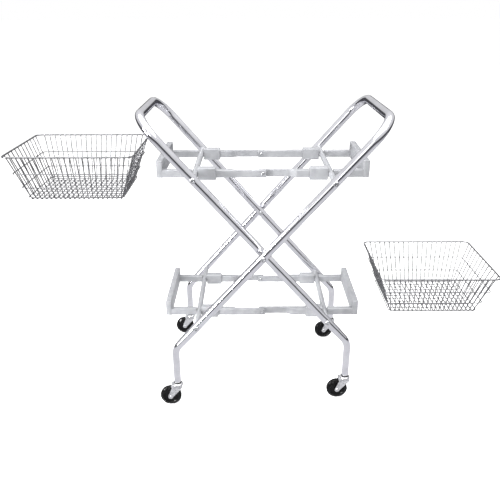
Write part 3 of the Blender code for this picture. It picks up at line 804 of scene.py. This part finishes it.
AXLE_OFFSET = centre("caster_wheel_front_left").x - centre("caster_stem_front_left").x
WHEEL_CENTRE_Z = centre("caster_wheel_front_left").z
WHEEL_RADIUS = WHEEL_CENTRE_Z
FORK_INSIDE = 0.0127
FORK_OUTSIDE = 0.0149
FORK_UNDERSIDE = 0.0805
FORK_TOP = 0.0845
FORK_SHOULDER = 0.0765
FORK_FRONT = 0.0165
FORK_BACK = -0.0205
FORK_HOOD = -0.0240
FORK_END_RADIUS = 0.0085
FORK_BORE = 0.0053
FORK_RIB_TOP = 0.0800
DOME_TOP = 0.0905
STEM_RADIUS = 0.0102
COLLAR_RADIUS = 0.0127
KING_PIN_RADIUS = 0.0049
# Sizes of the black ring that paints the shade in the raceway gap between collar and fork dome.
RACEWAY_SHADE_BORE = 0.0056
RACEWAY_SHADE_RADIUS = 0.0136
AXLE_RADIUS = 0.0040
AXLE_HEAD_RADIUS = 0.0060
WHEEL_BORE = 0.0044
TREAD_HALF_WIDTH = 0.0048


def fork_outline(inset=0.0):
    """Side view of the fork: hood over the wheel, tapering legs and a round end at the axle."""
    end_radius = FORK_END_RADIUS - inset
    front, hood = FORK_FRONT - inset, FORK_HOOD + inset
    points = [(hood + 0.003, FORK_TOP - inset), (front - 0.002, FORK_TOP - inset)]
    points += [(front, FORK_TOP - 0.003), (front, FORK_SHOULDER)]
    lean = math.atan2(-AXLE_OFFSET, FORK_UNDERSIDE - WHEEL_CENTRE_Z)
    for i in range(17):
        angle = -lean * 0.4 - math.pi * i / 16
        x = AXLE_OFFSET + end_radius * math.cos(angle)
        z = WHEEL_CENTRE_Z + end_radius * math.sin(angle)
        points.append((x, z))
    points.append((FORK_BACK + inset, FORK_SHOULDER))
    points.append((hood, FORK_TOP - 0.004))
    return points


def prism(outline, low_y, high_y):
    shape = Shape()
    rings = [[Vector((x, y, z)) for x, z in outline] for y in (low_y, high_y)]
    shape.loft(rings)
    return shape


def fork_mesh():
    """The pressed fork: two cheeks and a bridge, with a dome for the ball race and a king pin bore."""
    body = as_object("fork_body", prism(fork_outline(), -FORK_OUTSIDE, FORK_OUTSIDE).mesh("fork"))
    channel = Shape()
    section = rounded_section((-FORK_INSIDE, FORK_INSIDE), (-0.02, FORK_UNDERSIDE), 0.004, 5)
    channel.loft([[Vector((x, y, z)) for y, z in section] for x in (-0.06, 0.06)])
    slot = as_object("fork_channel", channel.mesh("channel"))
    dome = [(0, DOME_TOP), (0.0118, DOME_TOP)]
    dome += arc_profile((0.0118, 0.0835), 0.0070, 88, 4, 8)
    dome += [(0.0190, 0.0820), (0, 0.0820)]
    cap = as_object("fork_dome", turned_mesh("dome", dome, 48))
    bore = as_object("fork_bore", cutter(FORK_BORE, 0.05, 0.11, 24))
    return apply_all(body, [(slot, "DIFFERENCE"), (cap, "UNION"), (bore, "DIFFERENCE")], 0.0006)


def fork_rib_shape():
    """A raised rib pressed into each fork cheek, following its taper."""
    shape = Shape()
    for side in (-1, 1):
        rings = []
        for inset, height in ((0.0042, -0.0005), (0.0042, 0), (0.0052, 0.0006)):
            outline = [(x, z) for x, z in fork_outline(inset) if z < FORK_RIB_TOP]
            rings.append([Vector((x, side * (FORK_OUTSIDE + height), z)) for x, z in outline])
        shape.loft(rings)
    return shape


def wheel_profile():
    """Hub boss, thin web, raised bead and bevelled shoulder, from the bore to the tread on one side."""
    half = [(WHEEL_BORE, 0.0114), (WHEEL_BORE + 0.0004, 0.0118), (0.0098, 0.0118)]
    half += [(0.0105, 0.0112), (0.0112, 0.0078)]
    half += [(0.0120, 0.0072), (0.0225, 0.0070), (0.0240, 0.0074), (0.0252, 0.0092), (0.0262, 0.0100)]
    half += [(0.0268, 0.0104), (0.0276, 0.0109), (0.0288, 0.0108), (0.0294, 0.0105), (0.0346, 0.0061)]
    half += arc_profile((0.0332, 0.0038), 0.0043, 46, 8, 6)
    half.append((WHEEL_RADIUS, TREAD_HALF_WIDTH))
    return half


def add_stem(label, owner, here):
    """The ribbed stem in the leg, its collar, the king pin with its riveted end, and a black ring under the
    collar that paints the shade of the raceway gap.
    """
    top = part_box(f"caster_stem_{label}")[1].z
    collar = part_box("outer_frame_tube")[0].z
    profile = [(0, top), (0.0078, top), (0.0098, top - 0.003), (STEM_RADIUS, top - 0.005)]
    for i in range(4):
        z = top - 0.010 - 0.005 * i
        profile += [(STEM_RADIUS, z + 0.0012), (0.0094, z), (STEM_RADIUS, z - 0.0012)]
    profile += [(STEM_RADIUS, collar - 0.0004), (0.0121, collar - 0.0004), (COLLAR_RADIUS, collar - 0.0010)]
    profile += [(COLLAR_RADIUS, 0.0969), (KING_PIN_RADIUS, 0.0967), (KING_PIN_RADIUS, 0.0800)]
    profile += [(0.0080, 0.0799), (0.0074, 0.0780), (0.0050, 0.0774), (0, 0.0773)]
    mesh = turned_mesh("stem", profile, 40)
    mesh.transform(here)
    place_piece(f"stem_{label}", mesh, "caster_zinc", owner, (f"caster_stem_{label}",))
    # Painted shade: a black ring standing in for the shadowed gap of the ball race between the collar and
    # the fork's dome.
    raceway_shade = [(RACEWAY_SHADE_BORE, 0.0908), (0.0122, 0.0908), (0.0132, 0.0914), (RACEWAY_SHADE_RADIUS, 0.0926)]
    raceway_shade += [(RACEWAY_SHADE_RADIUS, 0.0948), (0.0132, 0.0966), (RACEWAY_SHADE_BORE, 0.0966)]
    mesh = turned_mesh("raceway_shade", raceway_shade, 40)
    mesh.transform(here)
    place_piece(f"raceway_shade_ring_{label}", mesh, "spacer_plastic", owner, material="painted_raceway_shade")


def add_fork(label, swivel, here):
    mesh = FORK.copy()
    mesh.transform(here)
    place_piece(f"fork_{label}", mesh, "caster_zinc", swivel, (f"caster_fork_{label}",))
    mesh = fork_rib_shape().mesh("rib")
    mesh.transform(here)
    place_piece(f"fork_ribs_{label}", mesh, "caster_zinc", swivel)


def add_axle(label, swivel, here):
    """The riveted axle, with a domed head outside each cheek."""
    node = f"caster_axle_{label}"
    low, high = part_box(node)
    reach = (high.y - low.y) / 2
    half = [(0, reach), (0.0026, reach - 0.0002), (0.0050, reach - 0.0010)]
    half += [(AXLE_HEAD_RADIUS, reach - 0.0024), (AXLE_HEAD_RADIUS, FORK_OUTSIDE + 0.0001)]
    half.append((AXLE_RADIUS, FORK_OUTSIDE + 0.0001))
    axle = [(r, -y) for r, y in half] + list(reversed(half))
    mesh = turned_mesh("axle", axle, 32, "Y")
    mesh.transform(here)
    place_piece(f"axle_{label}", mesh, "caster_zinc", swivel, (node,))


def add_wheel(label, spin, here):
    half = wheel_profile()
    wheel = half + [(r, -y) for r, y in reversed(half)]
    mesh = turned_mesh("wheel", wheel, 96, "Y")
    mesh.transform(here)
    place_piece(f"wheel_disc_{label}", mesh, "wheel_black", spin, (f"caster_wheel_{label}",))


def caster(end, hand):
    label = f"{end}_{hand}"
    stem = centre(f"caster_stem_{label}")
    stem_place = shifted(stem.x, stem.y, 0)
    wheel_place = shifted(stem.x + AXLE_OFFSET, stem.y, WHEEL_CENTRE_Z)
    add_stem(label, "outer_frame" if hand == "left" else "inner_frame", stem_place)
    add_fork(label, f"caster_{label}", stem_place)
    add_axle(label, f"caster_{label}", wheel_place)
    add_wheel(label, f"wheel_{label}", wheel_place)


# ---------------------------------------------------------------- baskets


def ring_path(length, width, corner, x, z, steps=7):
    """A level rounded rectangle of points about x, as a closed path."""
    points = []
    for quarter, (sx, sy) in enumerate(((1, 1), (-1, 1), (-1, -1), (1, -1))):
        for i in range(steps + 1):
            angle = math.pi / 2 * (quarter + i / steps)
            along = x + sx * (length / 2 - corner) + corner * math.cos(angle)
            across = sy * (width / 2 - corner) + corner * math.sin(angle)
            points.append(Vector((along, across, z)))
    return points


def basket(hand):
    """A wire basket: wires bent under the floor both ways, three rings outside them and a thicker rim."""
    low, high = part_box(f"basket_rim_{hand}")
    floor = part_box(f"basket_shell_{hand}")[0].z
    body = f"basket_{hand}"
    x = (low.x + high.x) / 2
    length, width, top = high.x - low.x, high.y - low.y, high.z
    rim_z = top - RIM_RADIUS - 0.0002
    inset = 2 * RIM_RADIUS
    depth = rim_z - floor

    def wires(name, count, along_x, layer, replaces=()):
        """Wires that run down one wall, under the floor and up the facing wall."""
        shape = Shape()
        sizes = (length, FLOOR_LENGTH_SHARE), (width, FLOOR_WIDTH_SHARE)
        (run, run_share), (fan, fan_share) = sizes if along_x else reversed(sizes)
        fan_full = fan - FAN_MARGIN
        fan_floor = fan * fan_share - FAN_MARGIN_AT_FLOOR
        reach_top = run / 2 - inset - WIRE_RADIUS * 0.4
        reach_floor = reach_top * run_share
        for i in range(count):
            share = i / (count - 1) - 0.5
            corners = []
            for sign, order in ((-1, (1, 0)), (1, (0, 1))):
                for level in order:
                    across = share * (fan_full if level else fan_floor)
                    out = sign * (reach_top if level else reach_floor)
                    z = rim_z + WIRE_RADIUS * 0.5 if level else floor + layer
                    corners.append(Vector((x + out, across, z) if along_x else (x + across, out, z)))
            path = resample(rounded_path(corners, (WIRE_BEND, WIRE_BEND), 5), 0.06)
            sweep(shape, path, WIRE_RADIUS, 8, start_side=(0, 1, 0) if along_x else (1, 0, 0))
        place_piece(f"{name}_{hand}", shape.mesh(name, 60), "basket_wire", body, replaces)

    wires("basket_cross_wires", LONG_SIDE_WIRES, False, WIRE_RADIUS, (f"basket_shell_{hand}",))
    wires("basket_long_wires", SHORT_SIDE_WIRES, True, WIRE_RADIUS * 2.9)
    rings = Shape()
    for share, corner in BASKET_HOOPS:
        outer = (length - inset) * (FLOOR_LENGTH_SHARE + (1 - FLOOR_LENGTH_SHARE) * share)
        wide = (width - inset) * (FLOOR_WIDTH_SHARE + (1 - FLOOR_WIDTH_SHARE) * share)
        path = ring_path(outer + WIRE_RADIUS, wide + WIRE_RADIUS, corner, x, floor + depth * share)
        sweep(rings, path, WIRE_RADIUS, 8, closed=True, start_side=(0, 0, 1))
    place_piece(f"basket_hoops_{hand}", rings.mesh("hoops", 60), "basket_wire", body)
    rim = Shape()
    path = ring_path(length - inset, width - inset, RIM_CORNER, x, rim_z, 12)
    sweep(rim, path, RIM_RADIUS, 14, closed=True, start_side=(0, 0, 1))
    mesh = rim.mesh("rim", 60)
    place_piece(f"basket_top_rim_{hand}", mesh, "basket_wire", body, (f"basket_rim_{hand}",))


# ---------------------------------------------------------------- stage


def add_camera():
    data = bpy.data.cameras.new("camera")
    data.lens = CAMERA_LENS
    data.sensor_width = 36
    camera = as_object("camera", data)
    camera.location = CAMERA_PLACE
    camera.rotation_euler = (CAMERA_PITCH, CAMERA_ROLL, CAMERA_YAW)
    bpy.context.scene.camera = camera


def add_floor():
    mesh = bpy.data.meshes.new("floor")
    shape = bmesh.new()
    bmesh.ops.create_circle(shape, cap_ends=True, segments=96, radius=FLOOR_RADIUS)
    shape.to_mesh(mesh)
    shape.free()
    mesh.materials.append(pale_floor())
    floor = as_object("floor", mesh)


def add_area_light(name, place, target, size, power):
    data = bpy.data.lights.new(name, "AREA")
    data.shape = "RECTANGLE"
    data.size, data.size_y = size
    data.energy = power
    light = as_object(name, data)
    light.location = place
    aim = Vector(target) - Vector(place)
    light.rotation_euler = aim.to_track_quat("-Z", "Y").to_euler()


def add_world():
    """A white studio. Mirror surfaces see grey walls with a dark strip at the horizon, which draws
    the thin dark lines along bright tubes. The camera sees plain white, and matt surfaces a dimmer white.
    """
    world = bpy.data.worlds.new("studio")
    bpy.context.scene.world = world
    world.use_nodes = True
    tree = world.node_tree
    output = tree.nodes["World Output"]
    plain = tree.nodes["Background"]
    plain.inputs["Color"].default_value = (1, 1, 1, 1)
    coordinates = tree.nodes.new("ShaderNodeTexCoord")
    split = tree.nodes.new("ShaderNodeSeparateXYZ")
    tree.links.new(coordinates.outputs["Generated"], split.inputs["Vector"])
    ramp = tree.nodes.new("ShaderNodeValToRGB")
    tree.links.new(split.outputs["Z"], ramp.inputs["Fac"])
    while len(ramp.color_ramp.elements) < len(WALL_GREYS):
        ramp.color_ramp.elements.new(0.5)
    for element, (position, grey) in zip(ramp.color_ramp.elements, WALL_GREYS):
        element.position = position
        element.color = (grey, grey, grey * 1.02, 1)
    reflected = tree.nodes.new("ShaderNodeBackground")
    tree.links.new(ramp.outputs["Color"], reflected.inputs["Color"])
    reflected.inputs["Strength"].default_value = 1.0
    soft = tree.nodes.new("ShaderNodeBackground")
    soft.inputs["Color"].default_value = (1, 1, 1, 1)
    soft.inputs["Strength"].default_value = WALL_LIGHT
    rays = tree.nodes.new("ShaderNodeLightPath").outputs
    backgrounds = soft.outputs["Background"], reflected.outputs["Background"]
    by_gloss = pick_by_ray(tree, rays["Is Glossy Ray"], *backgrounds)
    by_camera = pick_by_ray(tree, rays["Is Camera Ray"], by_gloss, plain.outputs["Background"])
    tree.links.new(by_camera, output.inputs["Surface"])


def add_stage():
    add_camera()
    add_floor()
    add_world()
    add_area_light("overhead_softbox", (0, -0.2, 3.4), target=(0, 0, 0.4), size=(4.2, 3.4), power=190)
    add_area_light("left_strip", (-2.5, -1.45, 1.2), target=(-0.3, -0.25, 0.1), size=(0.45, 1.5), power=115)
    add_area_light("front_softbox", (-1.6, -3.4, 2.2), target=(0, 0, 0.5), size=(0.7, 1.6), power=10)
    scene = bpy.context.scene
    scene.view_settings.view_transform = "Standard"
    scene.view_settings.look = "None"


# ---------------------------------------------------------------- the cart

add_stage()
for body, direction in (("outer_frame", 1), ("inner_frame", -1)):
    ties = [key for key in RACK_HALVES if FRAME_OF[key] == body]
    holes = [PIVOT] + [centre(f"tie_bolt_{level}_{hand}") for level, hand in ties]
    frame_tube(f"{body}_tube", body, direction, holes)
for side, label in ((-1, "front"), (1, "back")):
    pivot_set(side, label)
for level, hand in RACK_HALVES:
    tie_bolt(level, hand)
    cross_tube(level, hand)
    end_frame(level, hand)
    for end in ("front", "back"):
        socket(level, hand, end)
        rail(level, hand, end)
for level in ("upper", "lower"):
    for end in ("front", "back"):
        centre_rivet(level, end)
FORK = fork_mesh()
for end, hand in CORNERS:
    caster(end, hand)
for hand in ("left", "right"):
    basket(hand)
